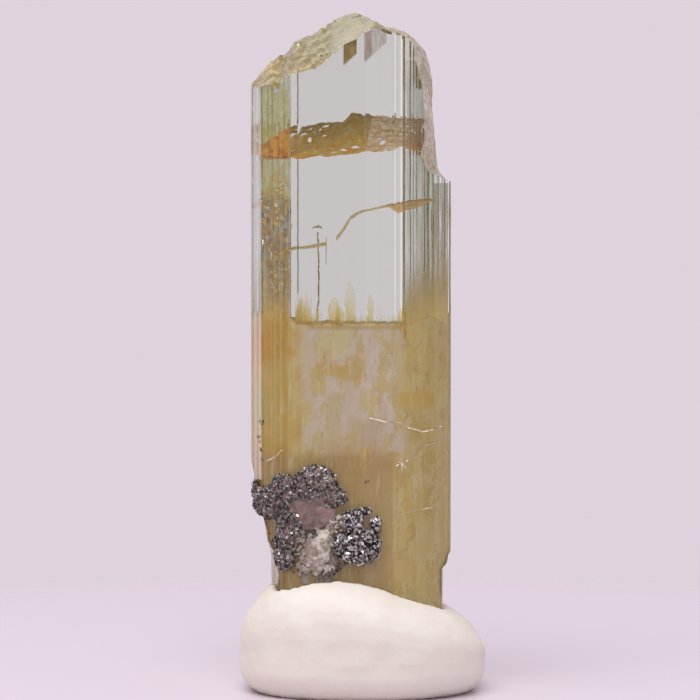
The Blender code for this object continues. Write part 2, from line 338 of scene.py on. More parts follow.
cut_up = calc("MULTIPLY_ADD", side, 0.5, slope(x, -1.8, -1.2, 0.9, 0.3))
emboss(shader, steps, 0.09, cut_up)
paint(shader, Roughness=slope(smear, 0.3, 0.7, 0.04, 0.18))


def second_finish(obj, wanted):
    """Puts a piece's second material on some of its faces, and stays in edit mode on them."""
    pick_faces(obj, wanted)
    obj.active_material_index = 1
    bpy.ops.object.material_slot_assign()


second_finish(crystal, lambda centre, normal: abs(normal.z) > UPRIGHT and centre.z > CLEAR_OF_PUTTY)
bpy.ops.mesh.subdivide(number_cuts=2)
object_mode()
splintered = crystal.vertex_groups.new(name="splintered")
on_flats = set()
for face in crystal.data.polygons:
    if face.material_index == 0:
        on_flats.update(face.vertices)
for vertex in crystal.data.vertices:
    at = vertex.co / MM
    if vertex.index in on_flats or at.z < CLEAR_OF_PUTTY:
        continue
    away = math.hypot(at.x - HOLLOW_X, (at.y - HOLLOW_Y) / HOLLOW_DEEPER) / HOLLOW_REACH
    calm = min(1.0, 0.15 + 0.85 * away * away)
    splintered.add([vertex.index], calm, "REPLACE")
    if at.z > TOP_FROM:
        bend = at.x + 0.10 * at.y + 0.25 * noise.noise(Vector((at.x * 0.5, at.y * 0.4, 7.0)))
        rib = abs(2 * (bend / RIB_PITCH - math.floor(bend / RIB_PITCH + 0.5)))
        ribbed = min(1.0, max(0.0, 1.5 - abs(at.x + 1.9)))
        vertex.co.z += calm * ribbed * RIB_HEIGHT * (0.5 - rib ** 1.5) * MM
        lump = noise.fractal(Vector((at.x * 1.2, at.y * 0.8, 3.0)), 0.7, 2.1, 3)
        vertex.co.z += calm * LUMP_HEIGHT * lump * MM
roughen(crystal, "splinters", "VORONOI", SPLINTER_SIZE, SPLINTER_HEIGHT, vertex_group="splintered")
roughen(crystal, "crumbs", "CLOUDS", CRUMB_SIZE, CRUMB_HEIGHT, vertex_group="splintered")
alone(crystal)
bpy.ops.object.shade_smooth_by_angle(angle=math.radians(24))
pick_faces(crystal, lambda centre, normal: abs(normal.z) <= UPRIGHT)
bpy.ops.mesh.faces_shade_flat()
object_mode()
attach(crystal, "root")
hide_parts("tanzanite_crystal")

# Cloudy growth zone
# The lower half of the crystal grew full of fine golden-brown inclusions. They end in an even
# growth face across the middle and in ragged tongues at the sides, above which it is clear.
CLOUD_FOOT, CLOUD_TOP_FROM, CLOUD_TOP = 2.2, 17.5, 18.35
CLOUD_INSET, CLOUD_GRID = (0.955, 0.945, 1.0), 0.13
# x, then how far up the cloud reaches over CLOUD_TOP_FROM, as a multiple of CLOUD_TOP's reach.
CLOUD_REACH = ((-5.6, 1.3), (-4.4, 1.5), (-3.6, 1.5), (-3.2, 1.3), (-2.9, 1.0), (2.0, 1.0),
               (2.6, 1.2), (3.4, 1.5), (4.4, 1.4))


def between(table, at):
    """The value at a place in a table of (place, value) rows in rising order."""
    if at <= table[0][0]:
        return table[0][1]
    for (start, low), (end, high) in zip(table, table[1:]):
        if at <= end:
            return low + (high - low) * (at - start) / (end - start)
    return table[-1][1]


cloud = joined_copy("tanzanite_crystal", "golden_cloud")
cut_flat(cloud, CLOUD_TOP, 1)
cut_flat(cloud, CLOUD_FOOT, -1)
bpy.ops.transform.resize(value=CLOUD_INSET, center_override=(CRYSTAL_MIDDLE * MM, 0, 0))
even_mesh(cloud, CLOUD_GRID)
for vertex in cloud.data.vertices:
    at = vertex.co / MM
    if at.z > CLOUD_TOP_FROM:
        reach = between(CLOUD_REACH, at.x)
        tongues = 0.35 * (reach - 0.6) * noise.fractal(Vector((at.x * 2.6, at.y * 1.6, 0)), 0.8, 2.0, 3)
        share = (at.z - CLOUD_TOP_FROM) / (CLOUD_TOP - CLOUD_TOP_FROM)
        rise = (at.z - CLOUD_TOP_FROM) * reach + share * tongues
        vertex.co.z = (CLOUD_TOP_FROM + rise) * MM
bpy.ops.object.shade_smooth()

shader = finish_of(cloud, "golden cloud", (0.80, 0.66, 0.36), 0.6)
place, x, y, z = in_mm(shader)
drift = speckle(place, (0.9, 0.9, 2.2), detail=4.0)
ragged_x = calc("MULTIPLY_ADD", drift, 1.4, calc("SUBTRACT", x, 0.7))
swell = speckle(place, (0.6, 0.6, 0.5), shift=4.0, detail=4.0)
ragged_z = calc("MULTIPLY_ADD", swell, 1.4, calc("SUBTRACT", z, 0.7))
pillars = speckle(place, (0.22, 0.22, 2.6), shift=7.0, detail=4.0, roughness=0.6)
tint = blend(pillars, 0.3, 0.72, (0.88, 0.70, 0.22), (0.94, 0.83, 0.34))


def patchwork(place, scale, randomness):
    """Angular patches, so many to the millimetre, each with its own random Red, Green and Blue."""
    grid = add(place, "Mapping", Vector=place, Scale=scale).outputs["Vector"]
    cells = add(place, "TexVoronoi", Vector=grid, distance="CHEBYCHEV", Scale=1.0, Randomness=randomness)
    return add(place, "SeparateColor", Color=cells.outputs["Color"]).outputs


blocks = patchwork(place, (1.9, 1.3, 0.75), 0.9)
tint = mixed(times(blocks["Red"], 0.35), tint, (0.82, 0.60, 0.18))
warp = speckle(place, (0.35, 0.35, 0.35), shift=21.0)
warped = add(shader, "VectorMath", operation="ADD")
feed(place, warped.inputs[0])
feed(warp, warped.inputs[1])
chips = patchwork(warped.outputs["Vector"], (3.4, 2.0, 1.5), 1.0)
tint = mixed(slope(chips["Red"], 0.55, 1.0, 0.0, 0.5), tint, (0.74, 0.50, 0.13))
tint = mixed(slope(chips["Green"], 0.55, 1.0, 0.0, 0.5), tint, (0.97, 0.86, 0.50))
in_middle = times(slope(ragged_z, 11.2, 12.6), near(ragged_x, -0.55, 1.9, 3.0))
tint = mixed(times(in_middle, 0.45), tint, (0.90, 0.78, 0.50))
# Painted see-through: pale patches in the middle stand for the light of the surroundings showing through
# where the cloud is thin.
painted_see_through = times(in_middle, slope(blocks["Green"], 0.5, 0.7, 0.0, 0.75))
tint = mixed(painted_see_through, tint, (0.93, 0.82, 0.72))
# Small near-white spots in the middle are painted glints.
bright = times(in_middle, slope(chips["Blue"], 0.72, 0.8, 0.0, 0.75))
tint = mixed(bright, tint, (0.97, 0.88, 0.78))
# Stains that differ from the rest: left, right, low, high, softness, strength, colour.
STAINS = (
    (-8.0, -3.45, 0.0, 30.0, 0.3, 0.95, (0.80, 0.54, 0.06)),
    (-4.9, -3.6, 12.5, 16.5, 0.4, 0.5, (0.86, 0.71, 0.22)),
    (-2.1, -0.6, 17.1, 18.05, 0.12, 0.85, (0.92, 0.85, 0.44)),
    (-2.2, -0.1, 15.7, 16.5, 0.25, 0.75, (0.82, 0.60, 0.16)),
    (-1.9, -0.9, 12.2, 15.0, 0.2, 0.5, (0.82, 0.68, 0.28)),
    (-0.5, 0.9, 12.3, 13.9, 0.4, 0.5, (0.78, 0.60, 0.38)),
    (-1.8, 1.3, 10.9, 12.4, 0.45, 0.6, (0.76, 0.55, 0.20)),
    (-0.2, 0.3, 11.2, 12.3, 0.12, 0.8, (0.92, 0.60, 0.10)),
    (2.0, 3.4, 14.3, 15.1, 0.2, 0.7, (0.92, 0.64, 0.12)),
    (2.0, 3.2, 15.2, 15.7, 0.15, 0.5, (0.90, 0.80, 0.28)),
    (-5.4, -4.4, 13.6, 15.0, 0.3, 0.6, (0.66, 0.60, 0.16)),
    (-5.4, -4.5, 16.3, 18.4, 0.3, 0.8, (0.84, 0.48, 0.03)),
)
for left, right, low, high, soft, strength, colour in STAINS:
    across = band(ragged_x, left - soft, left + soft, right - soft, right + soft)
    upright = band(ragged_z, low - soft, low + soft, high - soft, high + soft)
    tint = mixed(times(across, upright, strength), tint, colour)
# Lower down, a step in the growth: browner on its left, olive and lighter on its right.
browner = times(slope(z, 11.7, 12.2, 1.0, 0.0), slope(x, 1.40, 1.52, 0.65, 0.0))
tint = mixed(browner, tint, (0.68, 0.46, 0.15))
# The flat top of the zone is brown where it is cut off evenly.
flat_part = near(x, -0.3, 2.2, 2.6)
rim = times(slope(z, 18.05, 18.22), flat_part)
tint = mixed(times(rim, 0.6), tint, (0.76, 0.52, 0.16))
cap = times(slope(z, 18.28, 18.33), flat_part)
tint = mixed(cap, tint, (1.0, 0.80, 0.34))
# Fine dark scribbles and pale wisps.
threads = speckle(place, (0.10, 0.10, 0.9), shift=12.0, detail=5.0, roughness=0.65)
tint = mixed(slope(threads, 0.60, 0.70, 0.0, 0.55), tint, (0.50, 0.31, 0.08))
wisps = speckle(place, (0.16, 0.16, 1.6), shift=17.0, detail=4.0)
tint = mixed(slope(wisps, 0.58, 0.70, 0.0, 0.6), tint, (0.98, 0.90, 0.62))
paint(shader, Base_Color=tint)
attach(cloud, "root")

# Tongues of the cloud
# A few narrow golden tongues stand on the even top of the cloudy zone, close behind the front face.
prism = cad["tanzanite_crystal"].data
skin = BVHTree.FromPolygons([v.co / MM for v in prism.vertices], [f.vertices for f in prism.polygons])
# Each tongue's x, foot, tip and half its width.
TONGUES = ((-3.0, 18.0, 19.7, 0.20), (-2.75, 18.0, 19.2, 0.24), (-1.40, 18.0, 19.7, 0.30),
           (-1.15, 18.0, 19.3, 0.20), (-0.62, 17.8, 20.5, 0.24), (0.33, 17.9, 19.9, 0.14),
           (1.9, 17.9, 19.2, 0.25))
TONGUE_THICKNESS, TONGUE_Y = 0.12, -2.6
LICK_SIZE, LICK_WIDTH = 0.3, 0.25


def in_crystal(point, margin):
    """True where a point in millimetres is inside the crystal, deeper than margin."""
    place, normal, _, _ = skin.find_nearest(point)
    return (place - point).dot(normal) > margin


def joined(parts, name):
    """Joins pieces into one with this name, and leaves it active."""
    alone(parts[-1])
    for part in parts:
        part.select_set(True)
    bpy.ops.object.join()
    parts[-1].name = name
    return parts[-1]


tongue_parts = []
for tongue_x, foot, tip, half_width in TONGUES:
    bpy.ops.object.select_all(action="DESELECT")
    bpy.ops.mesh.primitive_uv_sphere_add(segments=16, ring_count=24, radius=1.0)
    tongue = bpy.context.object
    edit_all(tongue)
    bpy.ops.transform.resize(value=(half_width * MM, TONGUE_THICKNESS * MM, (tip - foot) / 2 * MM))
    bpy.ops.transform.translate(value=(tongue_x * MM, TONGUE_Y * MM, (tip + foot) / 2 * MM))
    object_mode()
    roughen(tongue, "licks", "CLOUDS", LICK_SIZE, LICK_WIDTH, direction="X")
    tongue_parts.append(tongue)
tongues = joined(tongue_parts, "cloud_tongues")
bpy.ops.object.shade_smooth()
shader = finish_of(tongues, "golden tongues", (0.82, 0.62, 0.24), 0.6)
place, x, y, z = in_mm(shader)
licks = speckle(place, (0.08, 0.2, 0.7), detail=4.0)
paint(shader, Base_Color=blend(licks, 0.35, 0.65, (0.97, 0.74, 0.20), (1.0, 0.92, 0.45)))
thin_out = slope(z, 18.3, 20.2, 0.9, 0.2)
paint(shader, Alpha=times(thin_out, slope(licks, 0.3, 0.6, 0.5, 1.0)))
paint(shader, IOR=1.0, Transmission_Weight=0.75)
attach(tongues, "root")

# Stained streaks behind the side faces
# Thin films of yellow and brown stain lie along the growth lines just behind the narrow faces.
INSIDE, FILM_THICKNESS, FILM_WAVE = 0.06, 0.02, 0.06


def trim(sheet, margin):
    """Takes away the faces of a sheet that aren't inside the crystal."""
    pick_faces(sheet, lambda centre, normal: not in_crystal(centre, margin))
    bpy.ops.mesh.delete(type="FACE")
    object_mode()


def flat_grid(name, across, along):
    """A flat grid, 1 wide and long, whose vertices are then put in their places."""
    bpy.ops.object.select_all(action="DESELECT")
    bpy.ops.mesh.primitive_grid_add(x_subdivisions=across, y_subdivisions=along, size=1.0)
    sheet = bpy.context.object
    sheet.name = name
    return sheet


def pane(name, start, end, low, high):
    """A thin upright film inside the crystal, over a line between two places in its plan."""
    sheet = flat_grid(name, 30, 120)
    for vertex in sheet.data.vertices:
        across, up = vertex.co.x + 0.5, vertex.co.y + 0.5
        level = low + (high - low) * up
        point = Vector((*start, level)).lerp(Vector((*end, level)), across)
        point.y += FILM_WAVE * noise.noise(Vector((point.x * 3, level * 0.8, 4.0)))
        vertex.co = point * MM
    trim(sheet, INSIDE)
    modify(sheet, "SOLIDIFY", thickness=FILM_THICKNESS * MM)
    bpy.ops.object.shade_smooth()
    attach(sheet, "root")
    return sheet


left_film = pane("left_film", (-4.93, -1.32), (-3.5, -2.62), 17.8, 30.6)
shader = finish_of(left_film, "left stain", (0.7, 0.6, 0.3), 0.5)
place, x, y, z = in_mm(shader)
runs = speckle(place, (0.15, 0.15, 1.8), detail=4.0, roughness=0.6)
patches = speckle(place, (0.3, 0.3, 0.5), shift=6.0, detail=4.0)
grey_brown = blend(runs, 0.35, 0.65, (0.13, 0.10, 0.04), (0.84, 0.74, 0.30))
yellow = blend(runs, 0.35, 0.65, (0.72, 0.74, 0.12), (0.95, 0.95, 0.40))
tint = blend(z, 24.2, 24.9, grey_brown, yellow)
ochre = times(slope(patches, 0.48, 0.58), slope(z, 26.0, 26.6, 0.65, 0.0))
tint = mixed(ochre, tint, (0.90, 0.56, 0.10))
edge = calc("MULTIPLY_ADD", patches, 2.4, calc("SUBTRACT", z, 1.2))
golden = slope(edge, 18.6, 20.9, 1.0, 0.0)
tint = mixed(golden, tint, (0.95, 0.72, 0.18))
dense = calc("ADD", slope(runs, 0.36, 0.6, 0.08, 0.55), slope(patches, 0.5, 0.65, 0.0, 0.3))
lower = slope(z, 24.6, 26.4, 1.0, 0.6)
dense = calc("MAXIMUM", dense, times(lower, slope(patches, 0.3, 0.5, 0.3, 0.75)))
dense = times(dense, slope(z, 29.6, 30.5, 1.0, 0.5))
# The veil's stain runs on behind these faces.
veil_top = calc("MULTIPLY_ADD", x, 0.62, 30.25)
veil_top = calc("MULTIPLY_ADD", patches, 0.5, calc("SUBTRACT", veil_top, 0.25))
orange = slope(calc("SUBTRACT", z, veil_top), -0.06, 0.06, 1.0, 0.0)
orange = times(slope(z, 26.42, 26.55), orange)
rusty = blend(patches, 0.4, 0.6, (0.66, 0.25, 0.0), (1.0, 0.56, 0.03))
paint(shader, Base_Color=mixed(orange, tint, rusty))
dense = calc("MAXIMUM", dense, times(golden, 0.9))
paint(shader, Alpha=calc("MAXIMUM", dense, times(orange, 0.95)))

right_film = pane("right_film", (1.95, -2.58), (3.45, -1.42), 17.8, 31.3)
outer_film = pane("outer_film", (3.45, -1.42), (4.18, -0.30), 17.8, 25.3)
for film, lightest in ((right_film, 0.26), (outer_film, 0.55)):
    shader = finish_of(film, film.name.replace("_", " "), (0.45, 0.40, 0.30), 0.5)
    place, x, y, z = in_mm(shader)
    runs = speckle(place, (0.12, 0.12, 3.0), detail=4.0, roughness=0.6)
    olive = mixed(runs, (0.34, 0.29, 0.16), (0.80, 0.68, 0.36))
    edge = calc("MULTIPLY_ADD", runs, 2.0, calc("SUBTRACT", z, 1.0))
    edge = calc("MULTIPLY_ADD", x, -0.7, edge)
    golden = slope(edge, 16.0, 20.9, 1.0, 0.0)
    paint(shader, Base_Color=mixed(golden, olive, (0.98, 0.80, 0.28)))
    streaked = slope(runs, 0.35, 0.62, 0.03, lightest)
    paint(shader, Alpha=calc("MAXIMUM", streaked, golden))

window_mist = pane("window_mist", (-3.3, -2.72), (2.1, -2.55), 17.7, 20.6)
shader = finish_of(window_mist, "window mist", (0.98, 0.82, 0.36), 0.5)
place, x, y, z = in_mm(shader)
licks = speckle(place, (0.22, 0.22, 1.1), shift=2.0, detail=4.0)
rise = calc("MULTIPLY_ADD", licks, 3.4, slope(x, -3.0, -1.9, 1.0, 0.0))
height = calc("SUBTRACT", calc("SUBTRACT", z, 16.55), rise)
paint(shader, Alpha=slope(height, -0.9, 0.9, 0.8, 0.0))
paint(shader, IOR=1.0, Transmission_Weight=0.5)

# Three small stained slivers, given by their left, right, foot, top, colour and cover, hang just
# under the broken top, close behind the front face.
for name, left, right, low, high, colour, cover in (
        ("gold_sliver", -0.94, -0.30, 30.95, 32.9, (0.72, 0.50, 0.08), 0.85),
        ("rose_sliver", 0.08, 0.42, 31.10, 33.2, (1.0, 0.74, 0.54), 0.55),
        ("far_sliver", 0.42, 1.15, 31.40, 33.2, (1.0, 0.86, 0.68), 0.35)):
    sliver = pane(name, (left, -2.85), (right, -2.82), low, high)
    shader = finish_of(sliver, name.replace("_", " "), colour, 0.5)
    place, x, y, z = in_mm(shader)
    shade = speckle(place, (0.2, 0.2, 0.7), detail=4.0)
    darker = tuple(0.55 * part for part in colour)
    paint(shader, Base_Color=blend(shade, 0.35, 0.65, darker, colour))
    slant = calc("MULTIPLY_ADD", calc("SUBTRACT", x, left), -0.9, z)
    paint(shader, Alpha=slope(slant, low + 0.05, low + 0.2, 0.0, cover))

# Flakes and dabs behind the left faces
# Small mirror-like cleavage flakes and dabs of orange stain are scattered behind the left faces.
MIRRORS, DABS, SPOTS_FROM, SPOTS_TO, SPOT_LIFT = 90, 70, 19.4, 25.4, 0.03


def spots_on(ground, count, dice, wanted):
    """Places scattered over a piece's faces, each with the way that the face looks."""
    faces = [face for face in ground.data.polygons if wanted(face.center / MM, face.normal)]
    spots = []
    for face in dice.choices(faces, weights=[face.area for face in faces], k=count):
        corners = [ground.data.vertices[index].co for index in face.vertices]
        shares = [dice.random() for _ in corners]
        middle = sum((corner * share for corner, share in zip(corners, shares)), Vector())
        spots.append((middle / sum(shares) + face.normal * SPOT_LIFT * MM, face.normal.copy()))
    return spots


def plates(name, spots, radii, thickness, lean, dice, length=0.85, upright=False):
    """A piece of thin six-sided plates at those places, leaning every way. An upright plate's long
    side is near the vertical."""
    points, sides = [], []
    for middle, normal in spots:
        tip = Vector((dice.gauss(0, 1), dice.gauss(0, 1), dice.gauss(0, 1)))
        up = (normal + tip * lean).normalized()
        across = (up.cross(Vector((0, 0, 1))) if upright else up.orthogonal()).normalized()
        along = up.cross(across)
        turn = dice.gauss(0, 0.5) if upright else dice.uniform(0, math.tau)
        across, along = (across * math.cos(turn) + along * math.sin(turn),
                         along * math.cos(turn) - across * math.sin(turn))
        radius = dice.uniform(*radii) * MM
        first = len(points)
        for level in (-0.5, 0.5):
            for step in range(6):
                angle = math.tau * step / 6
                reach = radius * dice.uniform(0.7, 1.0)
                points.append(middle + up * level * thickness * MM
                              + (across * math.cos(angle) + along * math.sin(angle) * length) * reach)
        sides.append([first + step for step in reversed(range(6))])
        sides.append([first + 6 + step for step in range(6)])
        for step in range(6):
            following = (step + 1) % 6
            sides.append([first + step, first + following, first + 6 + following, first + 6 + step])
    mesh = bpy.data.meshes.new(name)
    mesh.from_pydata(points, [], sides)
    obj = bpy.data.objects.new(name, mesh)
    bpy.context.scene.collection.objects.link(obj)
    return obj


def clustered(centre, normal):
    """True in the stained patches behind the left faces."""
    patch = noise.noise(Vector((centre.x * 1.6, 0.0, centre.z * 0.9))) + 0.15
    return normal.y < 0 and SPOTS_FROM < centre.z < SPOTS_TO and in_crystal(centre, 0.12) and patch > 0


dice = random.Random(11)
mirror_spots = spots_on(left_film, MIRRORS, dice, clustered)
mirrors = plates("left_mirrors", mirror_spots, (0.03, 0.07), 0.012, 0.5, dice, 3.0, True)
shader = finish_of(mirrors, "mirror flakes", (1.0, 0.97, 0.78), 0.2)
paint(shader, Metallic=0.5)
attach(mirrors, "root")

dab_spots = spots_on(left_film, DABS, dice, clustered)
dabs = plates("left_dabs", dab_spots, (0.04, 0.12), 0.02, 0.25, dice, 1.7)
shader = finish_of(dabs, "orange dabs", (0.85, 0.50, 0.08), 0.5)
place, x, y, z = in_mm(shader)
each = speckle(place, (0.2, 0.2, 0.2))
paint(shader, Base_Color=blend(each, 0.35, 0.6, (0.60, 0.33, 0.04), (0.95, 0.78, 0.20)))
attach(dabs, "root")

# Veil
# A rough healed fracture that crosses the clear part from side to side. It is stained orange-brown,
# rises from the front to the back, and is full of small windows.
VEIL_MIDDLE, VEIL_WIDTH, VEIL_DEPTH, VEIL_THICKNESS = -0.6, 10.4, 6.3, 0.03
VEIL_SWELL, VEIL_RIPPLE, VEIL_MARGIN = 0.14, 0.07, 0.08
# How high the veil is, as x and z, where it meets the front and the back.
FRONT_Y, BACK_Y = -3.1, 3.1
VEIL_FRONT_Z = ((-5.2, 26.65), (-3.0, 26.55), (-1.5, 26.65), (0.1, 26.8), (1.9, 26.95), (3.0, 26.6),
                (3.9, 26.0))
VEIL_BACK_Z = ((-5.1, 26.8), (-4.2, 27.0), (-3.6, 27.2), (-3.3, 27.5), (-3.0, 28.15), (-1.1, 28.4),
               (-0.5, 28.8), (2.0, 28.55), (3.1, 28.0), (3.6, 27.1))
# Each window's x, y and radius.
WINDOWS = ((-2.98, 1.4, 0.18), (-2.6, 0.0, 0.10), (-2.28, -2.0, 0.15), (-1.33, -2.4, 0.17),
           (-0.78, 0.2, 0.14), (-4.1, -0.9, 0.12), (0.9, -1.6, 0.20), (1.9, 0.6, 0.22),
           (-3.3, -1.2, 0.12), (-1.9, 0.8, 0.12), (-0.35, -1.9, 0.12), (2.6, -0.6, 0.18))
WINDOW_FRAY, HOLE_ABOVE, THIN_FROM = 0.8, 0.62, 0.1
veil = flat_grid("fracture_veil", 190, 110)
for vertex in veil.data.vertices:
    veil_x, veil_y = VEIL_MIDDLE + VEIL_WIDTH * vertex.co.x, VEIL_DEPTH * vertex.co.y
    share = (veil_y - FRONT_Y) / (BACK_Y - FRONT_Y)
    front_level = between(VEIL_FRONT_Z, veil_x)
    level = front_level + (between(VEIL_BACK_Z, veil_x) - front_level) * share
    level += VEIL_SWELL * noise.fractal(Vector((veil_x * 0.8, veil_y * 0.7, 1.0)), 0.7, 2.1, 4)
    level += VEIL_RIPPLE * noise.fractal(Vector((veil_x * 1.6, veil_y * 3.0, 2.0)), 0.6, 2.2, 4)
    vertex.co = Vector((veil_x, veil_y, level)) * MM


def veil_gap(centre, normal):
    """True outside the crystal and in the veil's windows, whose edges are ragged."""
    if not in_crystal(centre, VEIL_MARGIN):
        return True
    fray = noise.fractal(centre * 2.2, 0.6, 2.1, 3)
    for window_x, window_y, radius in WINDOWS:
        away = math.hypot(centre.x - window_x, (centre.y - window_y) / 1.7)
        if away < radius * (1 + WINDOW_FRAY * fray):
            return True
    return noise.fractal(centre * 1.1 + Vector((9, 9, 9)), 0.6, 2.1, 3) > HOLE_ABOVE


pick_faces(veil, veil_gap)
bpy.ops.mesh.delete(type="FACE")
modify(veil, "SOLIDIFY", thickness=VEIL_THICKNESS * MM)
bpy.ops.object.shade_smooth_by_angle(angle=math.radians(35))
shader = finish_of(veil, "orange veil", (0.98, 0.56, 0.09), 0.4)
paint(shader, Metallic=0.05)
place, x, y, z = in_mm(shader)
grit = speckle(place, (0.45, 0.6, 0.3), shift=5.0, detail=5.0, roughness=0.65)
tint = blend(grit, 0.34, 0.62, (1.0, 0.47, 0.02), (1.0, 0.70, 0.13))
# Near-white spots on the veil are painted glints.
glints = speckle(place, (0.35, 0.35, 0.12), shift=8.0, detail=4.0)
tint = mixed(slope(glints, 0.60, 0.68, 0.0, 0.85), tint, (1.0, 0.95, 0.66))
paint(shader, Base_Color=tint, Roughness=slope(grit, 0.3, 0.7, 0.3, 0.6))
emboss(shader, grit, 0.03, 0.6)
shader = finish_of(veil, "thin veil", (1.0, 0.80, 0.48), 0.4)
place, x, y, z = in_mm(shader)
grit = speckle(place, (0.3, 0.5, 0.2), shift=5.0, detail=5.0, roughness=0.65)
tint = blend(grit, 0.36, 0.60, (0.96, 0.66, 0.32), (1.0, 0.86, 0.60))
tint = mixed(slope(x, 1.8, 2.6, 0.0, 0.8), tint, (0.98, 0.58, 0.24))
paint(shader, Base_Color=tint, IOR=1.0, Transmission_Weight=slope(grit, 0.35, 0.65, 0.35, 0.75))
second_finish(veil, lambda centre, normal: centre.x > THIN_FROM)
object_mode()
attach(veil, "root")

# Golden cracks
# Two curved cracks, seen nearly edge on, cross the clear part below the veil. Gold-coloured stain
# has crept into them, and the long one fans out downwards at its right end.
CRACK_THICKNESS, CRACK_WAVE, CRACK_MARGIN, FAN_FROM = 0.045, 0.035, 0.08, 1.3


def crack(name, line, depths, dip):
    """A stained crack as a sheet: its line as (x, z) seen from the front, from one depth to another,
    and how far it dips per millimetre between them, as (x, dip) rows."""
    sheet = flat_grid(name, 120, 24)
    for vertex in sheet.data.vertices:
        crack_x = line[0][0] + (line[-1][0] - line[0][0]) * (vertex.co.x + 0.5)
        share = vertex.co.y + 0.5
        level = between(line, crack_x) - abs(depths[1] - depths[0]) * share * between(dip, crack_x)
        level += CRACK_WAVE * noise.fractal(Vector((crack_x * 2.4, share * 2.0, 3.0)), 0.7, 2.2, 4)
        depth = depths[0] + (depths[1] - depths[0]) * share
        vertex.co = Vector((crack_x, depth, level)) * MM
    trim(sheet, CRACK_MARGIN)
    modify(sheet, "SOLIDIFY", thickness=CRACK_THICKNESS * MM)
    bpy.ops.object.shade_smooth()
    shader = finish_of(sheet, name.replace("_", " "), (0.80, 0.60, 0.16), 0.45)
    place, x, y, z = in_mm(shader)
    beads = speckle(place, (0.14, 0.5, 0.14), detail=4.0)
    tint = blend(beads, 0.38, 0.6, (0.97, 0.66, 0.08), (1.0, 0.96, 0.50))
    paint(shader, Base_Color=mixed(slope(x, 1.2, 2.0, 0.0, 0.6), tint, (1.0, 0.78, 0.34)))
    shader = finish_of(sheet, "thin " + name.replace("_", " "), (1.0, 0.78, 0.36), 0.4)
    paint(shader, IOR=1.0, Transmission_Weight=0.6)
    second_finish(sheet, lambda centre, normal: centre.x > FAN_FROM and centre.y < depths[0] - 0.1)
    object_mode()
    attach(sheet, "root")


crack("long_crack", ((-1.26, 22.66), (-0.92, 23.10), (-0.58, 23.64), (-0.14, 23.90), (0.60, 24.08),
                     (1.24, 24.23), (2.07, 24.42), (3.0, 24.5), (3.4, 24.5)),
      (-1.4, -2.8), ((-1.3, 0.12), (-0.5, 0.08), (0.6, 0.03), (1.3, 0.08), (1.7, 0.38), (3.5, 0.42)))
crack("left_crack", ((-4.18, 21.84), (-3.22, 22.14), (-2.58, 22.19), (-1.78, 22.38)),
      (-1.6, -2.7), ((-4.3, 0.06), (-2.4, 0.08), (-1.8, 0.12)))

# Needles and growth lines
# Hair-fine needles and growth lines run up the clear part and show as thin dark or golden threads.
# Short pale threads just behind the left faces are painted glints.
PAINTED_GLINT_RADIUS, GROWTH_LINE_RADIUS = 0.026, 0.022
GROWTH_LINE_X, GROWTH_LINE_Y = -3.17, -2.72
# The left edge of the slanting left face, and how far the face comes forward per millimetre from there.
LEFT_EDGE_X, LEFT_EDGE_Y, LEFT_SLANT = -5.02, -1.42, 0.924
# The needles' points, and each needle's radius.
GOLD_NEEDLES = (
    (((-2.22, -2.55, 18.4), (-2.16, -2.55, 20.6), (-2.20, -2.55, 22.9)), 0.045),
    (((-1.80, -2.55, 21.3), (-1.80, -2.55, 22.7)), 0.018),
    (((-2.45, -2.55, 23.12), (-2.2, -2.55, 23.2), (-2.0, -2.55, 23.1)), 0.06),
)
# The x and z of the two ends of each glint.
PAINTED_GLINTS = (
    (-4.13, 24.45, -4.02, 24.15), (-4.02, 24.15, -4.22, 23.95), (-3.98, 23.7, -3.84, 23.4),
    (-4.82, 23.8, -4.72, 23.45), (-4.72, 23.45, -4.82, 23.2), (-4.62, 22.1, -4.45, 21.8),
    (-4.45, 21.8, -4.5, 21.5), (-4.55, 20.5, -4.35, 20.25), (-4.35, 20.25, -4.25, 19.9),
    (-4.5, 20.2, -4.3, 20.15), (-4.7, 22.7, -4.62, 22.5), (-4.3, 22.9, -4.35, 22.65),
    (-4.15, 21.2, -4.02, 21.05), (-4.8, 21.3, -4.75, 21.1), (-3.9, 22.5, -3.85, 22.3),
)


def thread(name, points, radius):
    """A fine round thread through (x, y, z) points in millimetres, made a mesh."""
    curve = bpy.data.curves.new(name, "CURVE")
    curve.dimensions = "3D"
    curve.bevel_depth = radius * MM
    curve.bevel_resolution = 1
    curve.use_fill_caps = True
    spline = curve.splines.new("POLY")
    spline.points.add(len(points) - 1)
    for point, place in zip(spline.points, points):
        point.co = (*(Vector(place) * MM), 1.0)
    obj = bpy.data.objects.new(name, curve)
    bpy.context.scene.collection.objects.link(obj)
    alone(obj)
    bpy.ops.object.convert(target="MESH")
    return bpy.context.object


def wandering(points, jitter, dice, steps=6):
    """More points along a line, each a little off it."""
    made = []
    for start, end in zip(points, points[1:]):
        for step in range(steps):
            at = Vector(start).lerp(Vector(end), step / steps)
            made.append(at + Vector((dice.uniform(-1, 1), 0, dice.uniform(-1, 1))) * jitter)
    made.append(Vector(points[-1]))
    return made


dice = random.Random(3)
parts = [thread("needle", wandering(line, 0.03, dice, 10), radius) for line, radius in GOLD_NEEDLES]
needles = joined(parts, "golden_needles")
bpy.ops.object.shade_smooth()
shader = finish_of(needles, "golden needles", (0.70, 0.55, 0.16), 0.5)
place, x, y, z = in_mm(shader)
beads = speckle(place, (0.3, 0.3, 0.22), detail=4.0)
paint(shader, Base_Color=blend(beads, 0.42, 0.56, (0.42, 0.32, 0.10), (0.95, 0.84, 0.40)))
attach(needles, "root")


def behind_left(place_x, place_z):
    """A point just behind the slanting left face."""
    return place_x, LEFT_EDGE_Y - LEFT_SLANT * (place_x - LEFT_EDGE_X), place_z
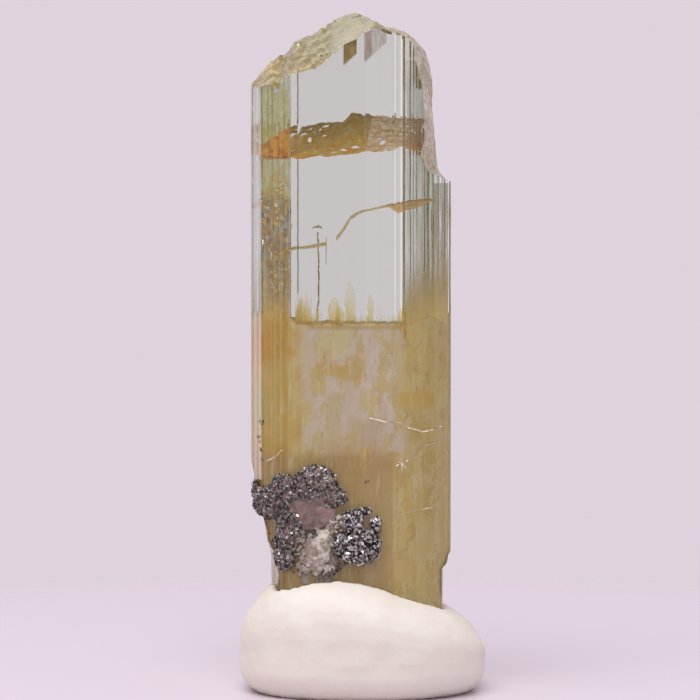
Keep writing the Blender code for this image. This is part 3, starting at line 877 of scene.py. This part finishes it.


# Painted glints: near-white threads just behind the slanting left face.
parts = []
for start_x, start_z, end_x, end_z in PAINTED_GLINTS:
    ends = [behind_left(start_x, start_z), behind_left(end_x, end_z)]
    parts.append(thread("glint", wandering(ends, 0.02, dice, 4), PAINTED_GLINT_RADIUS))
glints = joined(parts, "left_glints")
bpy.ops.object.shade_smooth()
shader = finish_of(glints, "glints", (1.0, 0.98, 0.80), 0.3)
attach(glints, "root")

parts = []
for low, high in ((19.9, 26.55), (28.2, 30.9)):
    ends = [(GROWTH_LINE_X, GROWTH_LINE_Y, low), (GROWTH_LINE_X, GROWTH_LINE_Y, high)]
    parts.append(thread("growth line", wandering(ends, 0.006, dice, 30), GROWTH_LINE_RADIUS))
growth_line = joined(parts, "growth_line")
shader = finish_of(growth_line, "growth line", (0.16, 0.13, 0.17), 0.5)
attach(growth_line, "root")

# White surface cracks
# Short fine cracks run across the lower right of the front, just under its skin, and catch the light.
CRACK_RADIUS, CRACK_DEPTH, WELL_IN_FRONT = 0.03, 0.01, -20.0
# The points of each crack, as x and z.
CRACKS = (
    ((0.37, 13.78), (1.10, 13.58), (1.62, 13.58), (2.42, 13.23), (2.92, 13.03), (3.42, 13.08),
     (3.90, 13.22)),
    ((2.55, 12.25), (3.20, 12.38), (3.85, 12.45)),
    ((1.62, 11.42), (1.95, 11.50), (2.22, 11.66)),
    ((1.90, 11.20), (1.95, 11.50), (1.84, 11.80)),
    ((1.75, 11.62), (1.95, 11.50), (2.12, 11.30)),
    ((2.20, 9.10), (3.00, 9.18), (3.75, 9.32)),
    ((-4.75, 11.55), (-4.35, 11.75), (-3.95, 12.15)),
)


def front_at(place_x, place_z):
    """The point of the crystal's front at a place seen from the front, and the way it faces there."""
    eye = Vector((place_x, WELL_IN_FRONT, place_z))
    point, facing, _, _ = skin.ray_cast(eye, Vector((0.0, 1.0, 0.0)))
    return point, facing


parts = []
for line in CRACKS:
    points = [(cx, front_at(cx, cz)[0].y + CRACK_DEPTH, cz) for cx, cz in line]
    parts.append(thread("crack", wandering(points, 0.035, dice), CRACK_RADIUS))
white_cracks = joined(parts, "white_cracks")
bpy.ops.object.shade_smooth()
shader = finish_of(white_cracks, "white cracks", (1.0, 0.95, 0.84), 0.4)
place, x, y, z = in_mm(shader)
gaps = speckle(place, (0.25, 0.25, 0.25))
paint(shader, Base_Color=blend(gaps, 0.4, 0.6, (0.80, 0.62, 0.35), (1.0, 0.97, 0.88)))
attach(white_cracks, "root")

# Graphite crusts
# Graphite grew on the crystal as lumpy crusts of small shiny six-sided flakes. The left crust has a
# smoother brown plate in its middle, and the right one is a knob of larger, brighter flakes.
CRUST_SHIFT, CRUST_GRID, CRUST_LUMP = 0.12, 0.05, 0.3
LEFT_FLAKES, RIGHT_FLAKES = 1500, 420
# The plate's middle, as x and z, half its width and half its height.
PLATE_X, PLATE_Z, PLATE_WIDTH, PLATE_HEIGHT = -2.3, 9.0, 1.2, 0.75


def moved_back(node, name, shift, grid):
    """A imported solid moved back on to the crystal, with a fine even mesh."""
    piece = joined_copy(node, name)
    edit_all(piece)
    bpy.ops.transform.translate(value=(0.0, shift * MM, 0.0))
    object_mode()
    even_mesh(piece, grid)
    return piece


def graphite(obj, name, dark, light, roughness):
    """Shiny grey flakes, some of them dark and some light."""
    shader = finish_of(obj, name, dark, roughness)
    paint(shader, Metallic=0.85)
    place, x, y, z = in_mm(shader)
    each = speckle(place, (0.13, 0.13, 0.13), detail=2.0)
    paint(shader, Base_Color=blend(each, 0.38, 0.66, dark, light))
    paint(shader, Roughness=slope(each, 0.3, 0.7, roughness, roughness + 0.25))


def on_plate(centre):
    """True on the smooth plate in the middle of the left crust."""
    ragged = 1 + 0.6 * noise.fractal(centre * 1.3, 0.6, 2.1, 3)
    return math.hypot((centre.x - PLATE_X) / PLATE_WIDTH, (centre.z - PLATE_Z) / PLATE_HEIGHT) < ragged


def facing_out(centre, normal):
    """True where a crust faces the front or a side."""
    return normal.y < 0.3


def off_plate(centre, normal):
    """True where the left crust bears flakes."""
    return facing_out(centre, normal) and not on_plate(centre)


dice = random.Random(21)
left_ground = moved_back("graphite_crust_left", "left_crust_ground", CRUST_SHIFT, CRUST_GRID)
roughen(left_ground, "left lumps", "CLOUDS", CRUST_LUMP, 0.14)
bpy.ops.object.shade_smooth()
shader = finish_of(left_ground, "crust ground", (0.16, 0.11, 0.10), 0.45)
place, x, y, z = in_mm(shader)
spots = speckle(place, (0.25, 0.25, 0.25), detail=5.0, roughness=0.65)
tint = blend(spots, 0.36, 0.62, (0.10, 0.07, 0.066), (0.22, 0.165, 0.15))
brown = slope(speckle(place, (0.7, 0.7, 0.4), shift=6.0), 0.46, 0.6, 0.0, 0.7)
tint = mixed(brown, tint, (0.27, 0.175, 0.14))
paint(shader, Base_Color=mixed(slope(x, -2.8, -1.6, 0.0, 0.6), tint, (0.36, 0.25, 0.20)))
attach(left_ground, "root")
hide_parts("graphite_crust_left")
flake_spots = spots_on(left_ground, LEFT_FLAKES, dice, off_plate)
left_flakes = plates("left_crust_flakes", flake_spots, (0.04, 0.13), 0.012, 0.6, dice)
graphite(left_flakes, "graphite flakes", (0.06, 0.052, 0.05), (0.54, 0.50, 0.48), 0.25)
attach(left_flakes, "root")

right_ground = moved_back("graphite_crust_right", "right_crust_ground", CRUST_SHIFT, CRUST_GRID)
roughen(right_ground, "right lumps", "CLOUDS", CRUST_LUMP, 0.12)
bpy.ops.object.shade_smooth()
graphite(right_ground, "knob ground", (0.015, 0.012, 0.012), (0.06, 0.05, 0.05), 0.4)
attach(right_ground, "root")
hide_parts("graphite_crust_right")
flake_spots = spots_on(right_ground, RIGHT_FLAKES, dice, facing_out)
right_flakes = plates("right_crust_flakes", flake_spots, (0.06, 0.20), 0.016, 0.7, dice)
graphite(right_flakes, "bright graphite flakes", (0.08, 0.07, 0.07), (0.85, 0.82, 0.80), 0.18)
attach(right_flakes, "root")

# Calcite
# A patch of crumbly, frosted whitish calcite lies between the two crusts, with loose crumbs of it
# round its edges.
CALCITE_SHIFT, CALCITE_GRID = 0.11, 0.035
RUBBLE_SIZE, RUBBLE_HEIGHT = 0.3, 0.10
calcite = moved_back("calcite_patch", "calcite_body", CALCITE_SHIFT, CALCITE_GRID)
roughen(calcite, "rubble", "VORONOI", RUBBLE_SIZE, RUBBLE_HEIGHT)
bpy.ops.object.shade_smooth_by_angle(angle=math.radians(30))
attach(calcite, "root")
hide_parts("calcite_patch")


def spots_between(start, end, spread, count, dice):
    """Places on the crystal's front, strewn about a line between two places seen from the front."""
    spots = []
    for _ in range(count):
        share = dice.random()
        crumb_x = start[0] + (end[0] - start[0]) * share + dice.gauss(0, spread)
        crumb_z = start[1] + (end[1] - start[1]) * share + dice.gauss(0, spread)
        point, facing = front_at(crumb_x, crumb_z)
        spots.append((point * MM, facing))
    return spots


# The x and z of a line's two ends, how far from it the crumbs are strewn, and how many they are.
CRUMBS = (
    ((-2.7, 6.7), (-1.15, 8.8), 0.2, 130),
    ((-2.95, 8.1), (-2.6, 6.3), 0.22, 70),
    ((-3.2, 6.35), (-1.4, 6.4), 0.14, 60),
)
crumb_spots = [spot for row in CRUMBS for spot in spots_between(*row, dice)]
crumbs = plates("calcite_crumbs", crumb_spots, (0.05, 0.20), 0.04, 0.3, dice)
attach(crumbs, "root")
for piece in (calcite, crumbs):
    shader = finish_of(piece, "frosted " + piece.name.replace("_", " "), (0.50, 0.44, 0.39), 0.4)
    place, x, y, z = in_mm(shader)
    frost = speckle(place, (0.3, 0.3, 0.3), detail=5.0, roughness=0.6)
    tint = blend(frost, 0.35, 0.62, (0.26, 0.20, 0.15), (0.70, 0.65, 0.56))
    dusty = slope(speckle(place, (0.5, 0.5, 0.5), shift=3.0), 0.35, 0.55, 0.3, 0.9)
    dusty = times(slope(x, -2.6, -2.1, 1.0, 0.2), dusty)
    paint(shader, Base_Color=mixed(dusty, tint, (0.26, 0.20, 0.15)))

# Under the crusts the crystal's skin is dulled by a grey-brown film.
dull_film = pane("dull_film", (-3.3, -3.0), (-0.5, -3.03), 5.6, 8.8)
shader = finish_of(dull_film, "dull film", (0.45, 0.37, 0.30), 0.6)
place, x, y, z = in_mm(shader)
cloudy = speckle(place, (0.4, 0.4, 0.5), detail=5.0, roughness=0.6)
paint(shader, Base_Color=blend(cloudy, 0.38, 0.62, (0.30, 0.22, 0.15), (0.82, 0.74, 0.62)))
middle = band(x, -3.3, -3.0, -1.9, -1.0)
paint(shader, Alpha=times(middle, slope(cloudy, 0.36, 0.52, 0.15, 0.85)))

# Specks
# Single black specks of graphite lie round and above the crusts, some of them in short streaks.
# The table's rows are like those of the calcite's crumbs.
SPECKS = (
    ((-3.3, 6.3), (-2.0, 6.35), 0.12, 46),
    ((-1.6, 6.2), (-1.0, 6.5), 0.14, 34),
    ((-3.6, 8.3), (-2.3, 7.9), 0.15, 30),
    ((-4.6, 8.0), (-4.3, 6.5), 0.12, 14),
    ((0.2, 10.7), (0.25, 10.72), 0.05, 4),
    ((-5.2, 13.5), (-4.9, 13.4), 0.05, 7),
    ((-5.15, 12.8), (-5.0, 11.6), 0.04, 12),
)
speck_spots = [spot for row in SPECKS for spot in spots_between(*row, dice)]
specks = plates("graphite_specks", speck_spots, (0.02, 0.06), 0.03, 0.3, dice, 1.6, True)
graphite(specks, "black specks", (0.04, 0.03, 0.03), (0.22, 0.18, 0.17), 0.4)
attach(specks, "root")

# Studio
# A plain pale floor that fades out all round, an even pale surround and soft light from all sides.
BACKDROP = (0.730, 0.651, 0.723)
FLOOR_SIZE, FADE_FROM, FADE_TO = 110.0, 36.0, 50.0
# What the camera looks at, its distance in metres and how far it looks down.
AIM, DISTANCE, LOOKING_DOWN = (-0.625, 0.0, 16.97), 0.170, 3.0
bpy.ops.object.select_all(action="DESELECT")
bpy.ops.mesh.primitive_plane_add(size=FLOOR_SIZE * MM)
floor = bpy.context.object
floor.name = "floor"
shader = finish_of(floor, "pale floor", (0.68, 0.61, 0.67), 0.3)
place, x, y, z = in_mm(shader)
reach = add(shader, "VectorMath", operation="LENGTH")
feed(place, reach.inputs[0])
paint(shader, Alpha=slope(reach.outputs["Value"], FADE_FROM, FADE_TO, 1.0, 0.0))

world = bpy.data.worlds.new("soft studio")
bpy.context.scene.world = world
world.use_nodes = True
surround = world.node_tree.nodes["Background"]
parts = add(surround, "SeparateXYZ", Vector=add(surround, "TexCoord").outputs["Generated"]).outputs
turn = calc("ARCTAN2", parts["Y"], parts["X"])
panels = slope(calc("COSINE", times(turn, 4.0)), -1.0, 0.3, 0.70, 1.0)
# The angles are in radians round the upright, from +X towards +Y. Behind the camera it is darker,
# and a tall strip light stands at the back on the left.
dark = near(turn, -1.60, 0.20, 0.30, 0.65, 1.0)
strip = near(turn, 2.20, 0.12, 0.20, 1.9, 1.0)
panels = times(panels, dark, strip)
scaled = add(surround, "VectorMath", operation="SCALE", Scale=panels)
scaled.inputs[0].default_value = BACKDROP
seen = add(surround, "LightPath").outputs["Is Camera Ray"]
feed(mixed(seen, scaled.outputs["Vector"], BACKDROP), surround.inputs["Color"])

lamp = bpy.data.lights.new("top softbox", "AREA")
lamp.shape = "RECTANGLE"
lamp.size = 0.16
lamp.size_y = 0.12
lamp.energy = 0.35
softbox = bpy.data.objects.new("top softbox", lamp)
bpy.context.scene.collection.objects.link(softbox)
softbox.location = (-0.03, -0.08, 0.20)
softbox.rotation_euler = (Vector((0, 0, 0.015)) - softbox.location).to_track_quat("-Z", "Y").to_euler()

lens = bpy.data.cameras.new("camera")
lens.sensor_width = 36.0
lens.lens = 175.0
lens.clip_start = 0.001
camera = bpy.data.objects.new("camera", lens)
bpy.context.scene.collection.objects.link(camera)
aim = Vector(AIM) * MM
tilt = math.radians(LOOKING_DOWN)
camera.location = aim + Vector((0.0, -math.cos(tilt), math.sin(tilt))) * DISTANCE
camera.rotation_euler = (aim - camera.location).to_track_quat("-Z", "Y").to_euler()
bpy.context.scene.camera = camera
bpy.context.scene.view_settings.view_transform = "Standard"
bpy.context.scene.cycles.use_denoising = True
bpy.context.scene.cycles.max_bounces = 16
bpy.context.scene.cycles.diffuse_bounces = 6
bpy.context.scene.cycles.glossy_bounces = 8
bpy.context.scene.cycles.transmission_bounces = 16
bpy.context.scene.cycles.transparent_max_bounces = 16
